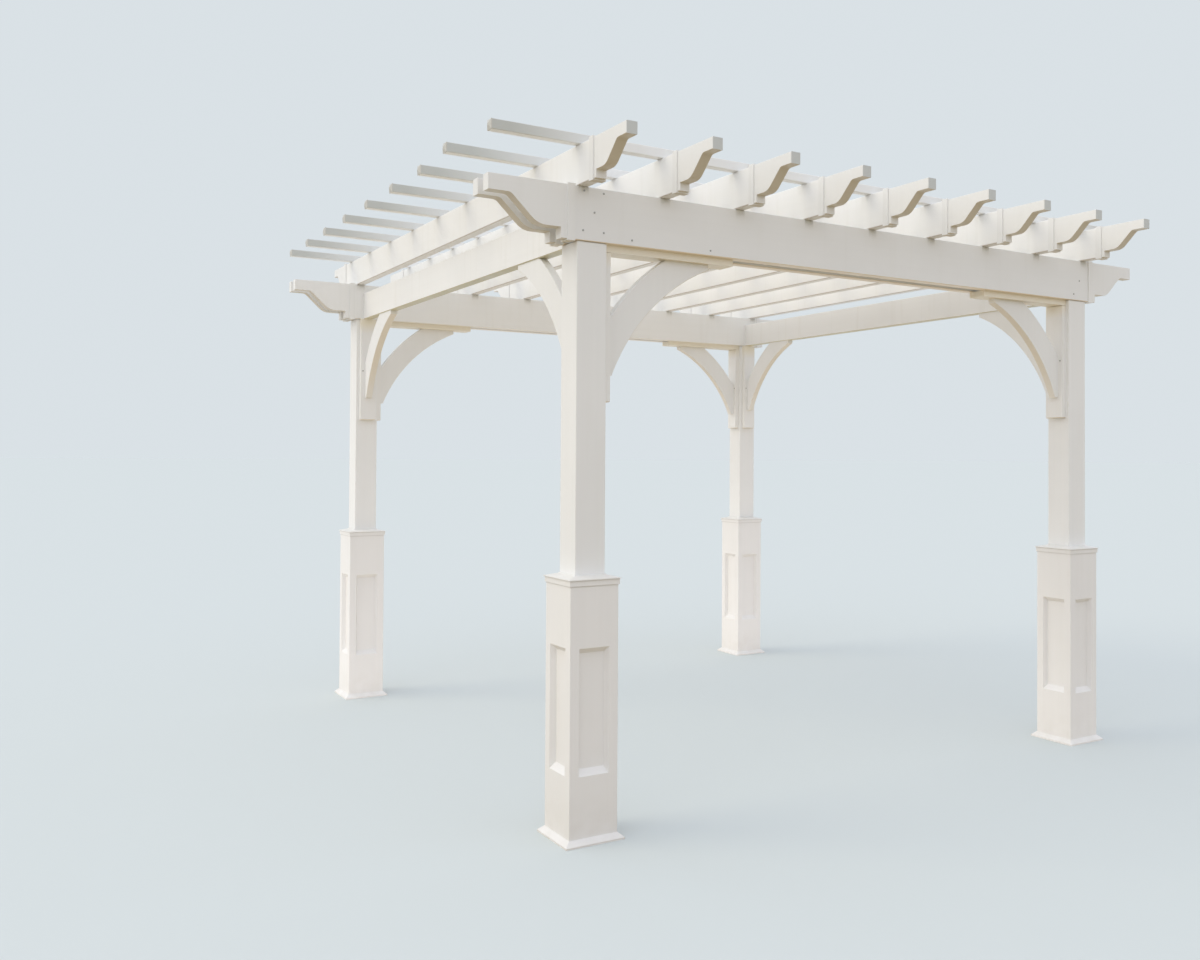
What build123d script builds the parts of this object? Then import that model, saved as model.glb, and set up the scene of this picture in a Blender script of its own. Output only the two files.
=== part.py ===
from build123d import *
import os

os.makedirs("parts", exist_ok=True)

# Overall plan
# The origin is on the ground in the middle of the four posts, X runs along the headers
# and Y runs from the front of the frame to the back.
frame_width = 3658
header_bottom = 2235
header_overhang = 360.5
rafter_overhang = 356
slat_overhang = 361.5

# Posts and the panelled wraps round their feet
post_size = 127
post_corner = 4
post_seat_height = 4
post_seat_step = 6
wrap_size = 203.2
wrap_wall = 5
wrap_corner = 3
wrap_height = 972
foot_overhang = 21
foot_edge_height = 7
foot_slope_height = 18
panel_width = 127
panel_bottom = 251
panel_top = 721
panel_depth = 22
panel_sill = 24
panel_head = 20
panel_side = 11.5
cap_rim = 3
cap_slope = 11
cap_lip = 3
cap_overhang = 8
cap_skirt_height = 21
cap_skirt_wall = 3.2
fit_gap = 0.3

# Header, rafter and side beam boards
board_thickness = 44.45
header_height = 203.2
header_gap = 50.8
rafter_height = 152.4
rafter_count = 9
side_beam_thickness = 50.8
side_beam_height = 152.4
board_corner = 2.5

# Ogee tips, all as shares of the height of the board they close
tip_end_face = 0.294
tip_shoulder = 0.431
tip_shoulder_round = 0.155
tip_cove = 0.967
tip_cove_round = 0.413
tip_heel = 1.43
tip_heel_drop = 0.197
tip_length = 1.63
tip_edge = 1
collar_lap = 15.5
collar_proud = 5

# Slats and their pointed caps
slat_size = 38.1
slat_corner = 2
slat_count = 9
slat_cap_rim = 3
slat_cap_point = 7
slat_cap_flat = 6
second_slat_shift = -28

# Arched knee braces and the plates they bear on
arch_inner_radius = 815
arch_depth = 115
arch_past_post = 11
arch_reach = 496
arch_thickness = 38.1
arch_edge = 2
plate_thickness = 28
plate_width = 88.9
plate_reach = 600
plate_corner = 4
plate_joint = 1.5

# Places that follow from the sizes
post_pitch = frame_width - 2 * header_overhang - post_size
half_pitch = post_pitch / 2
header_offset = (header_gap + board_thickness) / 2
header_width = header_gap + 2 * board_thickness
rafter_length = post_pitch + header_width + 2 * rafter_overhang
slat_length = post_pitch + post_size + 2 * slat_overhang
arch_centre = arch_inner_radius - arch_past_post
arch_outer_radius = arch_inner_radius + arch_depth
rafter_bottom = header_bottom + header_height
slat_bottom = rafter_bottom + rafter_height
rafter_spacing = (post_pitch + post_size - board_thickness) / (rafter_count - 1)
slat_spacing = (post_pitch + post_size) / (slat_count - 1)
ends = {"left": -1, "right": 1}
sides = {"front": -1, "rear": 1}


def store(piece, name):
    """Label a finished piece and write its file."""
    piece.part.label = name
    export_step(piece.part, f"parts/{name}.step")


def board(length, thickness, height, corner):
    """Straight board along X on Z = 0, its four long edges softened."""
    with BuildPart() as blank:
        Box(length, thickness, height, align=(Align.CENTER, Align.CENTER, Align.MIN))
        chamfer(blank.edges().filter_by(Axis.X), corner)
    return blank.part


def ogee_tip(height):
    """Moulded end of a board: nose at the origin, the board following along +X."""
    length = tip_length * height
    end_face_foot = (1 - tip_end_face) * height
    heel_drop = tip_heel_drop * height
    shoulder = (tip_shoulder * height, end_face_foot)
    cove = (tip_cove * height, heel_drop)
    heel = tip_heel * height
    with BuildPart() as tip:
        with BuildSketch(Plane.XZ) as outline:
            with BuildLine():
                Polyline(
                    (0, height),
                    (0, end_face_foot),
                    shoulder,
                    cove,
                    (heel, heel_drop),
                    (heel, 0),
                    (length, 0),
                    (length, height),
                    close=True,
                )
            make_face()
            fillet(outline.vertices().sort_by_distance((*shoulder, 0))[0], tip_shoulder_round * height)
            fillet(outline.vertices().sort_by_distance((*cove, 0))[0], tip_cove_round * height)
        extrude(amount=board_thickness / 2, both=True)
        flanks = tip.faces().filter_by(Axis.Y)
        chamfer(flanks.edges().filter_by(lambda edge: edge.center().X < length - tip_edge), tip_edge)
        # The collar laps over the joint with the board
        with BuildSketch(Plane.YZ.offset(length - collar_lap)):
            with Locations((0, height / 2)):
                Rectangle(board_thickness + 2 * collar_proud, height + 2 * collar_proud)
        extrude(amount=2 * collar_lap)
        with BuildSketch(Plane.YZ.offset(length)):
            with Locations((0, height / 2)):
                Rectangle(board_thickness + 2 * fit_gap, height + 2 * fit_gap)
        extrude(amount=collar_lap, mode=Mode.SUBTRACT)
    return tip.part


def corner_plane(x_side, y_side, along_header):
    """Upright plane through a post, X away from the post and the origin under the header."""
    if along_header:
        outward = Vector(-x_side, 0, 0)
    else:
        outward = Vector(0, -y_side, 0)
    centre = Vector(x_side * half_pitch, y_side * half_pitch, header_bottom)
    return Plane(
        origin=centre + outward * (post_size / 2),
        x_dir=outward,
        z_dir=outward.rotate(Axis.Z, -90),
    )


# Posts, each with a seat stepped in at its top for the headers
post_shoulder = header_bottom - post_seat_height
post_seat_size = post_size - 2 * post_seat_step
for side, y_side in sides.items():
    for end, x_side in ends.items():
        with BuildPart() as post:
            with BuildSketch():
                with Locations((x_side * half_pitch, y_side * half_pitch)):
                    RectangleRounded(post_size, post_size, post_corner)
            extrude(amount=post_shoulder)
            with BuildSketch(Plane.XY.offset(post_shoulder)):
                with Locations((x_side * half_pitch, y_side * half_pitch)):
                    Rectangle(post_seat_size, post_seat_size)
            extrude(amount=post_seat_height)
        store(post, f"post_{side}_{end}")

# The sunk panels of a wrap as solids, first as seen from outside and then from inside the wall
panel_height = panel_top - panel_bottom
panel_floor_width = panel_width - 2 * panel_side
panel_floor_height = panel_height - panel_sill - panel_head
panel_solids = []
for skin in (0, wrap_wall):
    with BuildPart() as panels:
        for quarter in range(4):
            facing = Vector(0, -1, 0).rotate(Axis.Z, 90 * quarter)
            along = Vector(1, 0, 0).rotate(Axis.Z, 90 * quarter)
            face_plane = Plane(origin=facing * (wrap_size / 2), x_dir=along, z_dir=facing)
            with BuildSketch(face_plane.offset(-skin)):
                with Locations((0, panel_bottom + panel_height / 2)):
                    Rectangle(panel_width + 2 * skin, panel_height + 2 * skin)
            with BuildSketch(face_plane.offset(-skin - panel_depth)):
                with Locations((0, panel_bottom + panel_sill + panel_floor_height / 2)):
                    Rectangle(panel_floor_width + 2 * skin, panel_floor_height + 2 * skin)
            loft()
    panel_solids.append(panels.part)
panels_outside, panels_inside = panel_solids

# The hollow of a wrap, into which the backs of the panels stand
with BuildPart() as wrap_hollow:
    with BuildSketch():
        Rectangle(wrap_size - 2 * wrap_wall, wrap_size - 2 * wrap_wall)
    extrude(amount=wrap_height)
    add(panels_inside, mode=Mode.SUBTRACT)

# Post wraps, square moulded sleeves with a flared foot and a sunk panel on each face
foot_size = wrap_size + 2 * foot_overhang
with BuildPart() as wrap_blank:
    with BuildSketch():
        RectangleRounded(wrap_size, wrap_size, wrap_corner)
    extrude(amount=wrap_height)
    with BuildSketch():
        Rectangle(foot_size, foot_size)
    extrude(amount=foot_edge_height)
    with BuildSketch(Plane.XY.offset(foot_edge_height)):
        Rectangle(foot_size, foot_size)
    with BuildSketch(Plane.XY.offset(foot_edge_height + foot_slope_height)):
        Rectangle(wrap_size, wrap_size)
    loft()
    add(panels_outside, mode=Mode.SUBTRACT)
    add(wrap_hollow.part, mode=Mode.SUBTRACT)

for side, y_side in sides.items():
    for end, x_side in ends.items():
        with BuildPart() as wrap:
            with Locations((x_side * half_pitch, y_side * half_pitch, 0)):
                add(wrap_blank.part)
        store(wrap, f"post_wrap_{side}_{end}")

# Wrap caps, each a thin rim sloping up to the post, over a skirt that laps the sleeve
cap_size = wrap_size + 2 * cap_overhang
cap_shoulder = wrap_height + cap_rim
sleeve_room = wrap_size + 2 * fit_gap
post_room = post_size + 2 * fit_gap
with BuildPart() as cap_blank:
    with BuildSketch(Plane.XY.offset(wrap_height - cap_skirt_height)):
        Rectangle(sleeve_room + 2 * cap_skirt_wall, sleeve_room + 2 * cap_skirt_wall)
        Rectangle(sleeve_room, sleeve_room, mode=Mode.SUBTRACT)
    extrude(amount=cap_skirt_height)
    with BuildSketch(Plane.XY.offset(wrap_height)):
        Rectangle(cap_size, cap_size)
    extrude(amount=cap_rim)
    with BuildSketch(Plane.XY.offset(cap_shoulder)):
        Rectangle(cap_size, cap_size)
    with BuildSketch(Plane.XY.offset(cap_shoulder + cap_slope)):
        Rectangle(post_room + 2 * cap_lip, post_room + 2 * cap_lip)
    loft()
    with BuildSketch(Plane.XY.offset(wrap_height)):
        Rectangle(post_room, post_room)
    extrude(amount=cap_rim + cap_slope, mode=Mode.SUBTRACT)
with BuildPart() as wrap_caps:
    with GridLocations(post_pitch, post_pitch, 2, 2):
        add(cap_blank.part)
store(wrap_caps, "wrap_caps")

# Headers, a pair of boards on the front posts and a pair on the rear posts
header_tip_length = tip_length * header_height
header_board = board(frame_width - 2 * header_tip_length, board_thickness, header_height, board_corner)
for side, y_side in sides.items():
    for layer, y_layer in {"outer": y_side, "inner": -y_side}.items():
        with BuildPart() as header:
            with Locations((0, y_side * half_pitch + y_layer * header_offset, header_bottom)):
                add(header_board)
        store(header, f"header_{side}_{layer}")

# Ogee tips on both ends of all four header boards
header_tip = ogee_tip(header_height)
header_lines = [y * half_pitch + layer * header_offset for y in (-1, 1) for layer in (-1, 1)]
with BuildPart() as header_tips:
    for line in header_lines:
        with Locations(
            Location((-frame_width / 2, line, header_bottom)),
            Location((frame_width / 2, line, header_bottom), (0, 0, 180)),
        ):
            add(header_tip)
store(header_tips, "header_tips")

# Side beams, let in between the front and rear headers over the posts
side_beam_length = post_pitch - header_width
side_board = board(side_beam_length, side_beam_thickness, side_beam_height, board_corner)
for end, x_side in ends.items():
    with BuildPart() as side_beam:
        with Locations(Location((x_side * half_pitch, 0, header_bottom), (0, 0, 90))):
            add(side_board)
    store(side_beam, f"side_beam_{end}")

# Knee braces, quarter arches between each post and the boards above it
for along_header in (True, False):
    kind = "header_brace" if along_header else "side_brace"
    top_depth = plate_thickness if along_header else 0
    for side, y_side in sides.items():
        for end, x_side in ends.items():
            centre_depth = arch_centre - plate_thickness + top_depth
            reach_depth = arch_reach - plate_thickness + top_depth
            with BuildPart() as brace:
                with BuildSketch(corner_plane(x_side, y_side, along_header)):
                    with Locations((arch_centre, -centre_depth)):
                        Circle(arch_outer_radius)
                        Circle(arch_inner_radius, mode=Mode.SUBTRACT)
                    with Locations((plate_thickness, -top_depth)):
                        Rectangle(
                            arch_reach - plate_thickness,
                            reach_depth - top_depth,
                            align=(Align.MIN, Align.MAX),
                            mode=Mode.INTERSECT,
                        )
                extrude(amount=arch_thickness / 2, both=True)
                chamfer(brace.edges().filter_by(GeomType.CIRCLE), arch_edge)
            store(brace, f"{kind}_{side}_{end}")

# Plates the braces bear on, screwed to the posts and to the undersides of the headers
with BuildPart() as brace_plates:
    for along_header in (True, False):
        for y_side in sides.values():
            for x_side in ends.values():
                level = corner_plane(x_side, y_side, along_header)
                start = plate_thickness + plate_joint if along_header else 0
                with BuildSketch(level):
                    with Locations((0, -start)):
                        Rectangle(plate_thickness, plate_reach - start, align=(Align.MIN, Align.MAX))
                extrude(amount=plate_width / 2, both=True)
                if along_header:
                    with BuildSketch(level):
                        Rectangle(plate_reach, plate_thickness, align=(Align.MIN, Align.MAX))
                    extrude(amount=plate_width / 2, both=True)
    free_ends = brace_plates.faces().filter_by(Axis.Z).group_by(Axis.Z)[0]
    chamfer(free_ends.edges(), plate_corner)
store(brace_plates, "brace_plates")

# Rafters, nine boards on edge across the headers
rafter_tip_length = tip_length * rafter_height
rafter_board = board(rafter_length - 2 * rafter_tip_length, board_thickness, rafter_height, board_corner)
rafter_places = [(number - (rafter_count - 1) / 2) * rafter_spacing for number in range(rafter_count)]
for number, place in enumerate(rafter_places, start=1):
    with BuildPart() as rafter:
        with Locations(Location((place, 0, rafter_bottom), (0, 0, 90))):
            add(rafter_board)
    store(rafter, f"rafter_{number}")

# Ogee tips on both ends of every rafter
rafter_tip = ogee_tip(rafter_height)
with BuildPart() as rafter_tips:
    for place in rafter_places:
        with Locations(
            Location((place, -rafter_length / 2, rafter_bottom), (0, 0, 90)),
            Location((place, rafter_length / 2, rafter_bottom), (0, 0, -90)),
        ):
            add(rafter_tip)
store(rafter_tips, "rafter_tips")

# Slats, nine square bars across the rafters
slat_cap_length = slat_cap_rim + slat_cap_point
slat_bar = board(slat_length - 2 * slat_cap_length, slat_size, slat_size, slat_corner)
slat_places = [(number - (slat_count - 1) / 2) * slat_spacing for number in range(slat_count)]
slat_shifts = {2: second_slat_shift}
for number, place in enumerate(slat_places, start=1):
    with BuildPart() as slat:
        with Locations((slat_shifts.get(number, 0), place, slat_bottom)):
            add(slat_bar)
    store(slat, f"slat_{number}")

# Pointed caps on both ends of every slat
slat_cap_narrowing = (slat_size - slat_cap_flat) / 2
with BuildPart() as slat_cap:
    with Locations((slat_length / 2, 0, 0)):
        Box(slat_cap_length, slat_size, slat_size, align=(Align.MAX, Align.CENTER, Align.MIN))
    cap_end = slat_cap.faces().sort_by(Axis.X)[-1]
    chamfer(cap_end.edges(), slat_cap_narrowing, slat_cap_point, reference=cap_end)
with BuildPart() as slat_caps:
    for number, place in enumerate(slat_places, start=1):
        shift = slat_shifts.get(number, 0)
        with Locations(
            Location((shift, place, slat_bottom)),
            Location((shift, place, slat_bottom), (0, 0, 180)),
        ):
            add(slat_cap.part)
store(slat_caps, "slat_caps")
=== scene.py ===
import bpy
import math
from mathutils import Matrix, Vector


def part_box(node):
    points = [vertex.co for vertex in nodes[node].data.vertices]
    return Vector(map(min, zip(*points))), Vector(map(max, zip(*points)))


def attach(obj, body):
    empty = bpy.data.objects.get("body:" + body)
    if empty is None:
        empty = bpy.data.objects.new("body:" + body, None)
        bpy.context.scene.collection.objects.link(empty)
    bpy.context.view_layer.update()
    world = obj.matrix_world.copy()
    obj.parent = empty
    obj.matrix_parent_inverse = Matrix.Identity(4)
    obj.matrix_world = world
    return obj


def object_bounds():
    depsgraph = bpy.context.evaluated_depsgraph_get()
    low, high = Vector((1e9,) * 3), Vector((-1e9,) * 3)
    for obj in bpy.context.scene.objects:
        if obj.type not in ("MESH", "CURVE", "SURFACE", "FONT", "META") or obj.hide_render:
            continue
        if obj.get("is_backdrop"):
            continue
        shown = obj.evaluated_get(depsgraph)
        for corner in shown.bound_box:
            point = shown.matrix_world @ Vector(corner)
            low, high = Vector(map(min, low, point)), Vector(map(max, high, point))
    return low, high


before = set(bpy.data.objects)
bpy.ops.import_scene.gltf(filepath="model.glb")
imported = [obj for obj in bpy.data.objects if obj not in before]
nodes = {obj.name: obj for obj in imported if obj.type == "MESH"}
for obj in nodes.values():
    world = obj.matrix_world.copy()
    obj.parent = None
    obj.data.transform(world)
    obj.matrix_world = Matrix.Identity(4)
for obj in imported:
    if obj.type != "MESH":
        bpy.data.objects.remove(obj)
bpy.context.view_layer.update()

# Posts
# Four square hollow vinyl posts stand on the ground and carry everything else.
# The vinyl is extruded, so it has a smooth satin skin with faint lengthwise drawing lines.


def noise(tree, scale, detail, stretch=(1.0, 1.0, 1.0)):
    """Noise on object coordinates, drawn out along an axis by a small stretch value."""
    mapping = tree.nodes.new("ShaderNodeMapping")
    mapping.inputs["Scale"].default_value = stretch
    place = tree.nodes.new("ShaderNodeTexCoord").outputs["Object"]
    tree.links.new(place, mapping.inputs["Vector"])
    texture = tree.nodes.new("ShaderNodeTexNoise")
    texture.inputs["Scale"].default_value = scale
    texture.inputs["Detail"].default_value = detail
    tree.links.new(mapping.outputs["Vector"], texture.inputs["Vector"])
    return texture.outputs["Fac"]


def along_axis(tree, axis, source="Object"):
    """One object coordinate, or one component of the surface's normal."""
    split = tree.nodes.new("ShaderNodeSeparateXYZ")
    tree.links.new(tree.nodes.new("ShaderNodeTexCoord").outputs[source], split.inputs["Vector"])
    return split.outputs[axis]


def spread(tree, value, span, result=(0.0, 1.0)):
    """A value going over the span turned into one going over the result, and held outside."""
    ranged = tree.nodes.new("ShaderNodeMapRange")
    for label, number in zip(("From Min", "From Max", "To Min", "To Max"), (*span, *result)):
        ranged.inputs[label].default_value = number
    tree.links.new(value, ranged.inputs["Value"])
    return ranged.outputs["Result"]


def times(tree, first, second):
    """Product of two values."""
    product = tree.nodes.new("ShaderNodeMath")
    product.operation = "MULTIPLY"
    tree.links.new(first, product.inputs[0])
    tree.links.new(second, product.inputs[1])
    return product.outputs["Value"]


def mix(tree, factor, first, second):
    """Colour between first and second, each a plain colour or an output."""
    mixed = tree.nodes.new("ShaderNodeMix")
    mixed.data_type = "RGBA"
    tree.links.new(factor, mixed.inputs["Factor"])
    colour_inputs = mixed.inputs[6:8]
    colour_output = mixed.outputs[2]
    for socket, colour in zip(colour_inputs, (first, second)):
        if isinstance(colour, tuple):
            socket.default_value = (*colour, 1.0)
        else:
            tree.links.new(colour, socket)
    return colour_output


def relief(tree, height, strength, depth, over=None):
    """Fine relief of the skin, laid over another one where that is given."""
    bump = tree.nodes.new("ShaderNodeBump")
    bump.inputs["Strength"].default_value = strength
    bump.inputs["Distance"].default_value = depth
    tree.links.new(height, bump.inputs["Height"])
    if over:
        tree.links.new(over, bump.inputs["Normal"])
    return bump.outputs["Normal"]


def soil(material, mask, tone):
    """Lay dirt of one tone over the colour that a finish has so far."""
    tree = material.node_tree
    base = tree.nodes["Principled BSDF"].inputs["Base Color"]
    tree.links.new(mix(tree, mask, base.links[0].from_socket, tone), base)


def vinyl(name, tone, along, stain=0.0):
    """Satin vinyl: slow drift of tone, drawing lines along one axis, orange peel, and dust and
    painted shade on upward faces.
    """
    material = bpy.data.materials.new(name)
    material.use_nodes = True
    tree = material.node_tree
    shader = tree.nodes["Principled BSDF"]

    bright, dull, line_tone = (
        tuple(channel * share for channel in tone) for share in (1.01, 0.975, 0.95)
    )
    drift = spread(tree, noise(tree, scale=2.3, detail=4.0), (0.35, 0.65))
    lengthwise, crosswise = 0.5, 42.0
    drawn_out = tuple(lengthwise if axis == along else crosswise for axis in "XYZ")
    drawn = noise(tree, scale=1.0, detail=5.0, stretch=drawn_out)
    line_strength = 0.3
    lined = spread(tree, drawn, (0.3, 0.7), (0.0, line_strength))
    colour = mix(tree, lined, mix(tree, drift, dull, bright), line_tone)
    tree.links.new(colour, shader.inputs["Base Color"])

    satin, dulled = 0.30, 0.46
    roughness = spread(tree, noise(tree, scale=7.0, detail=5.0), (0.3, 0.7), (satin, dulled))
    tree.links.new(roughness, shader.inputs["Roughness"])
    shader.inputs["Specular IOR Level"].default_value = 0.45
    peel_height = noise(tree, scale=260.0, detail=2.0)
    orange_peel = relief(tree, peel_height, strength=0.10, depth=0.0006)
    ripple = relief(tree, drawn, strength=0.16, depth=0.0012, over=orange_peel)
    tree.links.new(ripple, shader.inputs["Normal"])

    if stain:
        narrow_and_long = (26.0, 26.0, 1.6)
        rain = noise(tree, scale=1.0, detail=3.0, stretch=narrow_and_long)
        soil(material, spread(tree, rain, (0.56, 0.78), (0.0, stain)), tone=(0.60, 0.57, 0.49))
    # Dust on the upward faces, which also works as painted shade that keeps the tops from
    # clipping to white
    nearly_level = (0.9, 0.99)
    dust_and_shade_strength = 0.7
    dust_and_top_shade = times(
        tree,
        spread(tree, along_axis(tree, "Z", "Normal"), nearly_level, (0.0, dust_and_shade_strength)),
        spread(tree, noise(tree, scale=11.0, detail=6.0), (0.3, 0.7), (0.4, 1.0)),
    )
    soil(material, dust_and_top_shade, tone=(0.70, 0.68, 0.62))
    return material


def dress(prefixes, material):
    """Give the material to every node whose name starts with one of the prefixes."""
    for name, node in nodes.items():
        if name.startswith(prefixes):
            node.data.materials.clear()
            node.data.materials.append(material)


sides = {"front": -1, "rear": 1}
post_finish = vinyl("post_finish", (0.90, 0.90, 0.89), "Z", stain=0.05)
dress(tuple(f"post_{side}" for side in sides), post_finish)

# Post wraps and their caps
# Hollow moulded sleeves with a sunk panel on each face stand round the posts' feet.
# A glued cap closes each sleeve, and a thin bead of sealant runs where it meets the post.
wrap_finish = vinyl("wrap_finish", (0.897, 0.884, 0.870), "Z", stain=0.04)
wrap_tree = wrap_finish.node_tree
wrap_level = along_axis(wrap_tree, "Z")

# Earth splashed up by rain
splash_height = 0.20
splash_strength = 0.18
splashed = times(
    wrap_tree,
    spread(wrap_tree, wrap_level, (0.0, splash_height), (splash_strength, 0.0)),
    spread(wrap_tree, noise(wrap_tree, scale=17.0, detail=6.0), (0.32, 0.68), (0.25, 1.0)),
)
soil(wrap_finish, splashed, tone=(0.52, 0.46, 0.37))

# Painted shadow: a thin dark line just under the cap's skirt and rim, where their overhangs cast
# shade
seam_shadow_width = 0.006
seam_shadow_edge = 0.0004
seam_shadow_strength = 0.4
skirt_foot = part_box("wrap_caps")[0].z
rim_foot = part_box("post_wrap_front_left")[1].z
for seam in (skirt_foot, rim_foot):
    painted_seam_shadow = times(
        wrap_tree,
        spread(wrap_tree, wrap_level, (seam - seam_shadow_width, seam), (0.0, seam_shadow_strength)),
        spread(wrap_tree, wrap_level, (seam, seam + seam_shadow_edge), (1.0, 0.0)),
    )
    soil(wrap_finish, painted_seam_shadow, tone=(0.45, 0.43, 0.38))
dress(("post_wrap", "wrap_caps"), wrap_finish)


def post_middle(side, end):
    """Middle of one post."""
    low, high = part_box(f"post_{side}_{end}")
    return (low + high) / 2


ends = {"left": -1, "right": 1}
post_low, post_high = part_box("post_front_left")
post_width = post_high.x - post_low.x
bead_width = 0.0033
bead_height = 0.003
bead_outside = post_width + 2 * bead_width
bead_rounding = bead_height * 0.8
clear_of_post = 0.0002
cap_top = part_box("wrap_caps")[1].z
tolerance = 0.0001
topmost = cap_top + bead_height - tolerance
outermost = bead_outside / 2 - tolerance
sealant = vinyl("sealant", (0.86, 0.855, 0.83), "Z")
sealant.node_tree.nodes["Principled BSDF"].inputs["Specular IOR Level"].default_value = 0.3
for side in sides:
    for end in ends:
        centre = post_middle(side, end)
        bpy.ops.object.select_all(action="DESELECT")
        bpy.ops.mesh.primitive_cube_add(
            size=1.0,
            location=(centre.x, centre.y, cap_top + bead_height / 2),
            scale=(bead_outside, bead_outside, bead_height),
        )
        bead = bpy.context.object
        bead.name = f"sealant_bead_{side}_{end}"
        bpy.ops.object.transform_apply(location=True, rotation=True, scale=True)

        # The cube is opened for the post from top to bottom
        bpy.ops.object.mode_set(mode="EDIT")
        bpy.ops.mesh.select_mode(type="FACE")
        bpy.ops.mesh.select_all(action="DESELECT")
        bpy.ops.object.mode_set(mode="OBJECT")
        for face in bead.data.polygons:
            face.select = abs(face.normal.z) > 0.9
        bpy.ops.object.mode_set(mode="EDIT")
        bpy.ops.mesh.inset(thickness=bead_width - clear_of_post, use_boundary=True)
        bpy.ops.mesh.bridge_edge_loops()
        bpy.ops.mesh.select_all(action="SELECT")
        bpy.ops.mesh.normals_make_consistent(inside=False)
        bpy.ops.mesh.select_all(action="DESELECT")
        bpy.ops.object.mode_set(mode="OBJECT")

        # Its upper outer edges are rounded
        for edge in bead.data.edges:
            ends_of_edge = [bead.data.vertices[index].co for index in edge.vertices]
            high = all(point.z > topmost for point in ends_of_edge)
            outside = all(
                max(abs(point.x - centre.x), abs(point.y - centre.y)) > outermost
                for point in ends_of_edge
            )
            edge.select = high and outside
        bpy.ops.object.mode_set(mode="EDIT")
        bpy.ops.mesh.select_mode(type="EDGE")
        bpy.ops.mesh.bevel(offset=bead_rounding, segments=3, affect="EDGES")
        bpy.ops.object.mode_set(mode="OBJECT")
        bead.data.materials.append(sealant)
        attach(bead, "root")

# Headers, their ogee tips and the screws
# Each header is a pair of boards screwed to the posts, with moulded tips on both ends.
# Collars on the tips lap over the joints, and small stainless screws hold the outer boards.
header_finish = vinyl("header_finish", (0.885, 0.885, 0.88), "X", stain=0.05)
# The rear header's boards get a lighter copy of the header finish: painted light from the bright
# floor under the roof
rear_header_lit_finish = vinyl("rear_header_lit_finish", (0.935, 0.935, 0.925), "X", stain=0.09)
tip_finish = vinyl("tip_finish", (0.895, 0.895, 0.885), "Z", stain=0.05)


def either_way(tree, value):
    """The value without its sign, for what is alike on both sides of the middle."""
    absolute = tree.nodes.new("ShaderNodeMath")
    absolute.operation = "ABSOLUTE"
    tree.links.new(value, absolute.inputs[0])
    return absolute.outputs["Value"]


def paint_underside_shade(material, strength, tone=(0.60, 0.53, 0.40)):
    """Painted shade with a warm tan bounce tint on the faces that look down."""
    tree = material.node_tree
    facing = along_axis(tree, "Z", "Normal")
    soil(material, spread(tree, facing, (-0.15, -0.6), (0.0, strength)), tone)


def paint_shadow_under(material, axis, boards, width, reach, strength):
    """Painted shadow run down from the crossing boards, whose middles lie evenly along one axis.
    """
    tree = material.node_tree
    spacing = (boards[-1] - boards[0]) / (len(boards) - 1)
    nearest = tree.nodes.new("ShaderNodeMath")
    nearest.operation = "WRAP"
    tree.links.new(along_axis(tree, axis), nearest.inputs[0])
    nearest.inputs[1].default_value = spacing / 2
    nearest.inputs[2].default_value = -spacing / 2
    aside = either_way(tree, nearest.outputs["Value"])
    soft_edge = (width * 0.42, width * 0.58)
    under_board = spread(tree, aside, soft_edge, (1.0, 0.0))
    run_down = spread(tree, along_axis(tree, "Z"), reach)
    thinning_out = times(tree, run_down, run_down)
    patches = noise(tree, scale=60.0, detail=5.0)
    patchy = spread(tree, patches, (0.3, 0.7), (0.35 * strength, strength))
    painted_shadow = times(tree, times(tree, under_board, thinning_out), patchy)
    soil(material, painted_shadow, tone=(0.34, 0.34, 0.29))


def middles(prefix, axis):
    """Middle of each numbered board along one axis, in order."""
    boxes = [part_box(name) for name in nodes if name.startswith(prefix) and name[-1].isdigit()]
    return sorted((low[axis] + high[axis]) / 2 for low, high in boxes)


rafter_low, rafter_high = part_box("rafter_1")
rafter_width = rafter_high.x - rafter_low.x
header_top = rafter_low.z
# Painted shadow on the headers' faces under each rafter
header_shadow_depth = 0.045
shadow_reach = (header_top - header_shadow_depth, header_top)
for finish in (header_finish, rear_header_lit_finish):
    paint_shadow_under(finish, "X", middles("rafter_", 0), rafter_width, shadow_reach, strength=0.8)
# Painted shade on the undersides of the header boards and their tips
paint_underside_shade(header_finish, strength=0.7, tone=(0.88, 0.72, 0.50))
paint_underside_shade(rear_header_lit_finish, strength=0.3, tone=(0.86, 0.72, 0.52))
paint_underside_shade(tip_finish, strength=0.8)
dress(("header_front",), header_finish)
dress(("header_rear",), rear_header_lit_finish)
dress(("header_tips",), tip_finish)

# Dull stainless steel of the screw heads
steel = bpy.data.materials.new("screw_steel")
steel.use_nodes = True
steel_tree = steel.node_tree
steel_shader = steel_tree.nodes["Principled BSDF"]
steel_shader.inputs["Metallic"].default_value = 0.6
tarnish = noise(steel_tree, scale=420.0, detail=4.0)
steel_tone = mix(steel_tree, tarnish, (0.34, 0.33, 0.31), (0.56, 0.55, 0.52))
steel_tree.links.new(steel_tone, steel_shader.inputs["Base Color"])
smooth, dulled = 0.35, 0.62
steel_roughness = spread(steel_tree, tarnish, (0.0, 1.0), (smooth, dulled))
steel_tree.links.new(steel_roughness, steel_shader.inputs["Roughness"])

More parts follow.
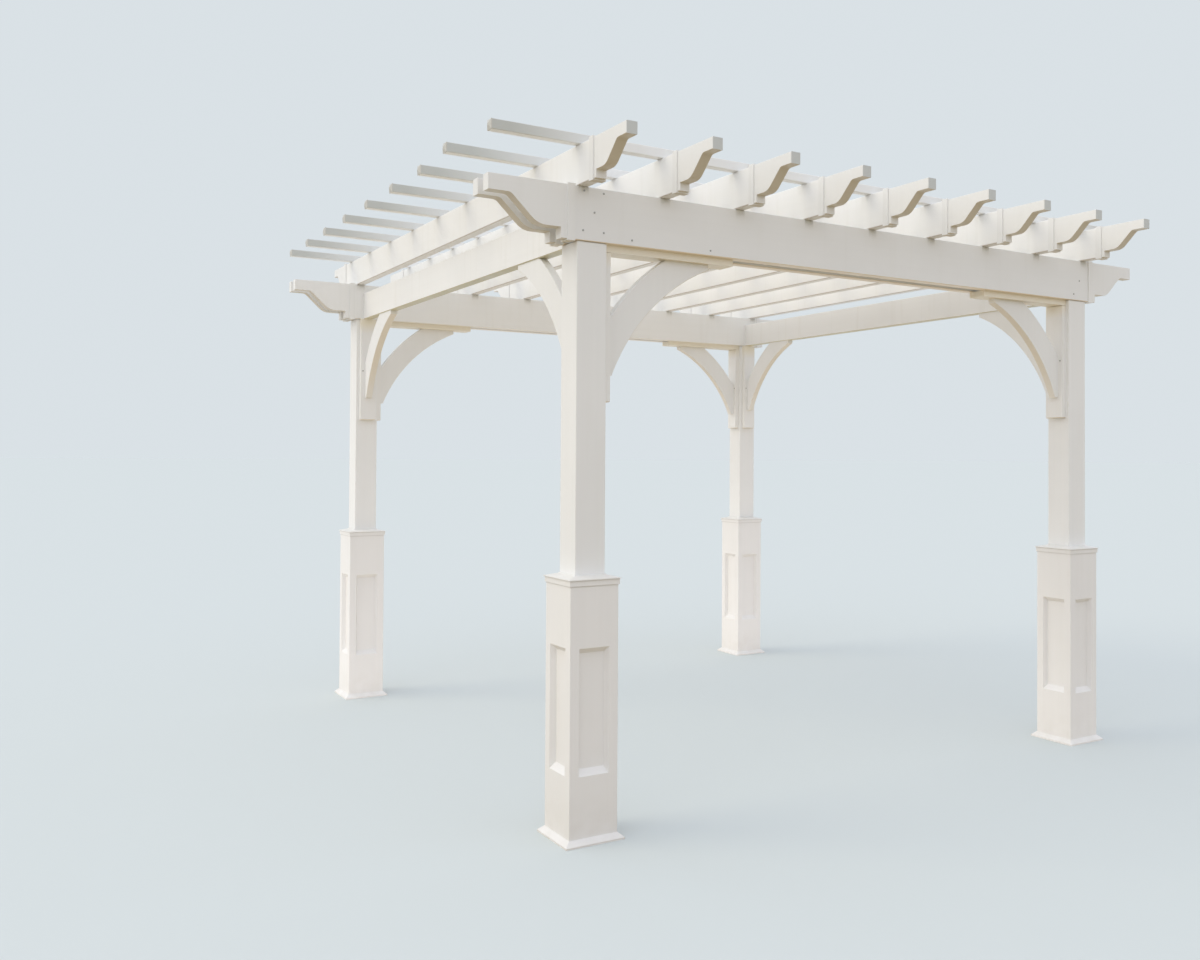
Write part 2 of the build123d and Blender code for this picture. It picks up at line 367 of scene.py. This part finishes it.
# A low round head with a rounded rim and a shallow recess for the driver
head_radius = 0.004
head_height = 0.0022
rim_rounding = head_height * 0.45
rim_width = head_radius * 0.28
recess_depth = head_height * 0.5
bpy.ops.object.select_all(action="DESELECT")
bpy.ops.mesh.primitive_cylinder_add(
    vertices=20, radius=head_radius, depth=head_height, location=(0, 0, head_height / 2)
)
screw_pattern = bpy.context.object
screw_pattern.name = "screw_pattern"
bpy.ops.object.transform_apply(location=True, rotation=True, scale=True)
for face in screw_pattern.data.polygons:
    face.select = face.normal.z > 0.9
bpy.ops.object.mode_set(mode="EDIT")
bpy.ops.mesh.select_mode(type="FACE")
bpy.ops.mesh.bevel(offset=rim_rounding, segments=3, affect="EDGES")
bpy.ops.object.mode_set(mode="OBJECT")
for face in screw_pattern.data.polygons:
    face.select = face.normal.z > 0.99 and face.center.z > head_height * 0.99
bpy.ops.object.mode_set(mode="EDIT")
bpy.ops.mesh.inset(thickness=rim_width)
bpy.ops.mesh.extrude_region_move(TRANSFORM_OT_translate={"value": (0, 0, -recess_depth)})
bpy.ops.object.mode_set(mode="OBJECT")
bpy.ops.object.shade_smooth_by_angle(angle=math.radians(35))

turn_between_screws = 1.1


def drive_screws(name, places, facing):
    """One object holding a screw head at each place, standing out along facing."""
    turn = Vector(facing).to_track_quat("Z", "Y").to_matrix().to_4x4()
    heads = []
    for number, place in enumerate(places):
        head = screw_pattern.copy()
        head.data = screw_pattern.data.copy()
        spin = Matrix.Rotation(number * turn_between_screws, 4, "Z")
        head.data.transform(Matrix.Translation(place) @ turn @ spin)
        bpy.context.scene.collection.objects.link(head)
        heads.append(head)
    bpy.ops.object.select_all(action="DESELECT")
    for head in heads:
        head.select_set(True)
    bpy.context.view_layer.objects.active = heads[0]
    bpy.ops.object.join()
    screws = bpy.context.view_layer.objects.active
    screws.name = name
    screws.data.materials.append(steel)
    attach(screws, "root")


# Distance of each screw inwards from the middle of the post, and up from the header's edge
screw_rows = {
    "left": [
        (-0.038, 0.187), (0.045, 0.185), (0.006, 0.109), (-0.042, 0.038), (0.046, 0.037),
        (0.170, 0.022), (0.535, 0.020),
    ],
    "right": [(-0.008, 0.100), (0.035, 0.030)],
}
for side, outward in sides.items():
    board_low, board_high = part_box(f"header_{side}_outer")
    board_face = board_low.y if side == "front" else board_high.y
    for end, hand in ends.items():
        centre = post_middle(side, end)
        places = [
            Vector((centre.x - hand * across, board_face, board_low.z + up))
            for across, up in screw_rows[end]
        ]
        drive_screws(f"header_screws_{side}_{end}", places, (0, outward, 0))

# Side beams
# Each is one hollow vinyl board let in between the headers over the posts.
# It hangs a little lower than the headers and meets the inner boards square.
beam_finish = vinyl("beam_finish", (0.925, 0.925, 0.915), "Y", stain=0.12)
# Painted shade on the beams' undersides
paint_underside_shade(beam_finish, strength=0.8, tone=(0.56, 0.50, 0.29))
dress(("side_beam",), beam_finish)

# Knee braces and the plates they bear on
# The braces are routed from thick vinyl board, with soft edges on both arcs.
# Their plates are screwed up under the headers and on to the inner faces of the posts.
brace_finish = vinyl("brace_finish", (0.89, 0.89, 0.88), "Z", stain=0.04)
plate_finish = vinyl("plate_finish", (0.90, 0.895, 0.88), "Z", stain=0.05)

# Painted shade with a warm bounce tint on the flat plates close under the headers
plate_tree = plate_finish.node_tree
header_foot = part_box("header_front_inner")[0].z
warm_shade_from, warm_shade_full = header_foot - 0.09, header_foot - 0.027
warm_shade_strength = 0.85
painted_warm_shade = spread(
    plate_tree, along_axis(plate_tree, "Z"), (warm_shade_from, warm_shade_full), (0.0, warm_shade_strength)
)
soil(plate_finish, painted_warm_shade, tone=(0.90, 0.84, 0.70))
# Painted shade on the undersides of the braces and plates
for finish in (brace_finish, plate_finish):
    paint_underside_shade(finish, strength=0.5, tone=(0.78, 0.66, 0.46))
dress(("header_brace", "side_brace"), brace_finish)
dress(("brace_plates",), plate_finish)

# One screw on each side of the brace holds the upright plate, about half way up
plate_thickness = 0.028
plate_face = post_width / 2 + plate_thickness
beside_brace = 0.032
below_plate_top = 0.31
screw_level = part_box("brace_plates")[1].z - below_plate_top
for side, outward in sides.items():
    for end, hand in ends.items():
        centre = post_middle(side, end)
        shifts = (-beside_brace, beside_brace)
        x_face = centre.x - hand * plate_face
        facing_x = [Vector((x_face, centre.y + shift, screw_level)) for shift in shifts]
        drive_screws(f"post_plate_screws_x_{side}_{end}", facing_x, (-hand, 0, 0))
        y_face = centre.y - outward * plate_face
        facing_y = [Vector((centre.x + shift, y_face, screw_level)) for shift in shifts]
        drive_screws(f"post_plate_screws_y_{side}_{end}", facing_y, (0, -outward, 0))
bpy.data.objects.remove(screw_pattern)

# Rafters and their tips
# Nine hollow vinyl boards stand on edge across the headers, closed by moulded ogee tips.
# Painted shadow runs down their sides from under the slats, and a darker band runs along their
# lower edges.
rafter_finish = vinyl("rafter_finish", (0.945, 0.945, 0.935), "Y", stain=0.10)
rafter_tree = rafter_finish.node_tree
slat_low, slat_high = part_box("slat_1")
slat_width = slat_high.y - slat_low.y
rafter_top = slat_low.z
# Painted shadow under each slat: a wide faint run and a short dark one
wide_faint_run = (2.2, 0.085, 0.18)
short_dark_run = (1.0, 0.012, 0.45)
for widening, depth, strength in (wide_faint_run, short_dark_run):
    shadow_reach = (rafter_top - depth, rafter_top)
    paint_shadow_under(
        rafter_finish, "Y", middles("slat_", 1), slat_width * widening, shadow_reach, strength
    )
# Painted shade on the rafters' undersides
paint_underside_shade(rafter_finish, strength=0.25, tone=(0.62, 0.54, 0.44))
# The upright sides darken in a narrow band just above their lower edge
rafter_foot = rafter_low.z
dark_band_full, dark_band_end = rafter_foot + 0.003, rafter_foot + 0.006
dark_band_strength = 0.6
upright_side = either_way(rafter_tree, along_axis(rafter_tree, "X", "Normal"))
rafter_level = along_axis(rafter_tree, "Z")
dark_lower_band = times(
    rafter_tree,
    spread(rafter_tree, rafter_level, (dark_band_full, dark_band_end), (dark_band_strength, 0.0)),
    spread(rafter_tree, upright_side, (0.3, 0.7)),
)
soil(rafter_finish, dark_lower_band, tone=(0.42, 0.35, 0.27))
dress(("rafter",), rafter_finish)

# The flat noses of the tips have greyed
rafter_tip_finish = vinyl("rafter_tip_finish", (0.89, 0.89, 0.88), "Z", stain=0.05)
# Painted shade on the tips' undersides
paint_underside_shade(rafter_tip_finish, strength=0.8)
tip_tree = rafter_tip_finish.node_tree
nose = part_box("rafter_tips")[1].y
nose_band = (nose - 0.0015, nose - 0.0005)
nose_strength = 0.75
from_middle = either_way(tip_tree, along_axis(tip_tree, "Y"))
on_nose = spread(tip_tree, from_middle, nose_band, (0.0, nose_strength))
soil(rafter_tip_finish, on_nose, tone=(0.54, 0.57, 0.56))
dress(("rafter_tips",), rafter_tip_finish)

# Slats and their caps
# Nine square vinyl bars lie across the rafters and stand out at both ends.
# Small pointed caps are glued into their ends, and the free ends have greyed at the front.
slat_finish = vinyl("slat_finish", (0.935, 0.94, 0.935), "X", stain=0.04)
slat_tree = slat_finish.node_tree
greyed_from, greyed_full = 1.3, 1.75
greyed_strength = 0.85
facing_front = (-0.4, -0.8)
from_middle = either_way(slat_tree, along_axis(slat_tree, "X"))
weathered = times(
    slat_tree,
    spread(slat_tree, from_middle, (greyed_from, greyed_full), (0.0, greyed_strength)),
    spread(slat_tree, along_axis(slat_tree, "Y", "Normal"), facing_front),
)
soil(slat_finish, weathered, tone=(0.54, 0.56, 0.53))
slat_cap_finish = vinyl("slat_cap_finish", (0.62, 0.62, 0.59), "X", stain=0.2)
dress(("slat",), slat_finish)
dress(("slat_caps",), slat_cap_finish)

# Floor and background
# A plain pale floor keeps the shadow and runs into a background of the same tone.
# What it throws back on the vinyl is warm, and weaker in front of the frame and behind it.
floor_size = 600.0
bpy.ops.object.select_all(action="DESELECT")
bpy.ops.mesh.primitive_plane_add(size=floor_size, location=(0, 0, 0))
floor = bpy.context.object
floor.name = "floor"
floor_material = bpy.data.materials.new("floor_material")
floor_material.use_nodes = True
floor_tree = floor_material.node_tree
floor_shader = floor_tree.nodes["Principled BSDF"]
floor_shader.inputs["Roughness"].default_value = 1.0
floor_shader.inputs["Specular IOR Level"].default_value = 0.0


def toward(tree, direction, source):
    """How far a point lies, or how much a ray of the sky points, in one direction."""
    product = tree.nodes.new("ShaderNodeVectorMath")
    product.operation = "DOT_PRODUCT"
    product.inputs[1].default_value = direction
    tree.links.new(tree.nodes.new("ShaderNodeTexCoord").outputs[source], product.inputs[0])
    return product.outputs["Value"]


def seen(tree):
    """1 for what the camera or a reflection sees, and 0 for what lights the object."""
    light_path = tree.nodes.new("ShaderNodeLightPath")
    any_of_them = light_path.outputs["Is Camera Ray"]
    for other in ("Is Glossy Ray", "Is Transmission Ray"):
        either = tree.nodes.new("ShaderNodeMath")
        either.operation = "MAXIMUM"
        tree.links.new(any_of_them, either.inputs[0])
        tree.links.new(light_path.outputs[other], either.inputs[1])
        any_of_them = either.outputs["Value"]
    return any_of_them


# The ramp goes from front to back, and its two middle stops hold the floor under the roof
floor_front, floor_back = -1.55, 3.25
roof_start, roof_end = 0.26, 0.66
in_front, under_roof, behind = (0.38, 0.31, 0.19), (0.88, 0.80, 0.69), (0.46, 0.43, 0.39)
toward_back = toward(floor_tree, (0.45, 1.0, 0.0), "Object")
floor_bounce = floor_tree.nodes.new("ShaderNodeValToRGB")
stops = floor_bounce.color_ramp.elements
for position in (roof_start, roof_end):
    stops.new(position)
for stop, tone in zip(stops, (in_front, under_roof, under_roof, behind)):
    stop.color = (*tone, 1.0)
front_to_back = spread(floor_tree, toward_back, (floor_front, floor_back))
floor_tree.links.new(front_to_back, floor_bounce.inputs["Fac"])
floor_tone = (0.640, 0.685, 0.685)
floor_colour = mix(floor_tree, seen(floor_tree), floor_bounce.outputs["Color"], floor_tone)
floor_tree.links.new(floor_colour, floor_shader.inputs["Base Color"])
floor.data.materials.append(floor_material)
floor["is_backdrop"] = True

# The sky lights the left of the object more than its right, and the camera sees it plain
world = bpy.data.worlds.new("world")
bpy.context.scene.world = world
world.use_nodes = True
world_tree = world.node_tree
backdrop = world_tree.nodes["Background"]
backdrop.inputs["Color"].default_value = (0.70, 0.755, 0.79, 1.0)
backdrop.inputs["Strength"].default_value = 1.0
up_left = toward(world_tree, (-0.77, 0.0, 0.64), "Generated")
dim_sky, bright_sky = (0.83, 0.85, 0.91), (1.16, 1.20, 1.28)
sky_tone = mix(world_tree, spread(world_tree, up_left, (0.0, 1.0)), dim_sky, bright_sky)
sky_light = world_tree.nodes.new("ShaderNodeBackground")
sky_light.inputs["Strength"].default_value = 1.0
world_tree.links.new(sky_tone, sky_light.inputs["Color"])
sky = world_tree.nodes.new("ShaderNodeMixShader")
world_tree.links.new(seen(world_tree), sky.inputs["Fac"])
world_tree.links.new(sky_light.outputs["Background"], sky.inputs[1])
world_tree.links.new(backdrop.outputs["Background"], sky.inputs[2])
world_tree.links.new(sky.outputs["Shader"], world_tree.nodes["World Output"].inputs["Surface"])

# Light and camera
# A broad soft light stands to the left and a little behind, as the bright side of the sky does.
# The camera looks from the front left at eye level.
key_light = bpy.data.lights.new("key_light", "SUN")
key_light.energy = 0.6
key_light.angle = math.radians(35)
key_light.color = (1.0, 0.88, 0.62)
key = bpy.data.objects.new("key_light", key_light)
toward_key = Vector((-0.78, 0.30, 0.55))
key.rotation_euler = toward_key.to_track_quat("Z", "Y").to_euler()
bpy.context.scene.collection.objects.link(key)

camera_data = bpy.data.cameras.new("camera")
camera_data.sensor_width = 36.0
camera_data.lens = 32.606
camera_data.shift_x = -0.0403
camera_data.shift_y = -0.0338
camera_data.clip_end = 400.0
camera = bpy.data.objects.new("camera", camera_data)
camera.location = (-3.3417, -5.0550, 1.4349)
camera.rotation_euler = (math.radians(90.83), math.radians(-0.3), math.radians(-31.40))
bpy.context.scene.collection.objects.link(camera)
bpy.context.scene.camera = camera
bpy.context.scene.view_settings.view_transform = "Standard"

low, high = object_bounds()
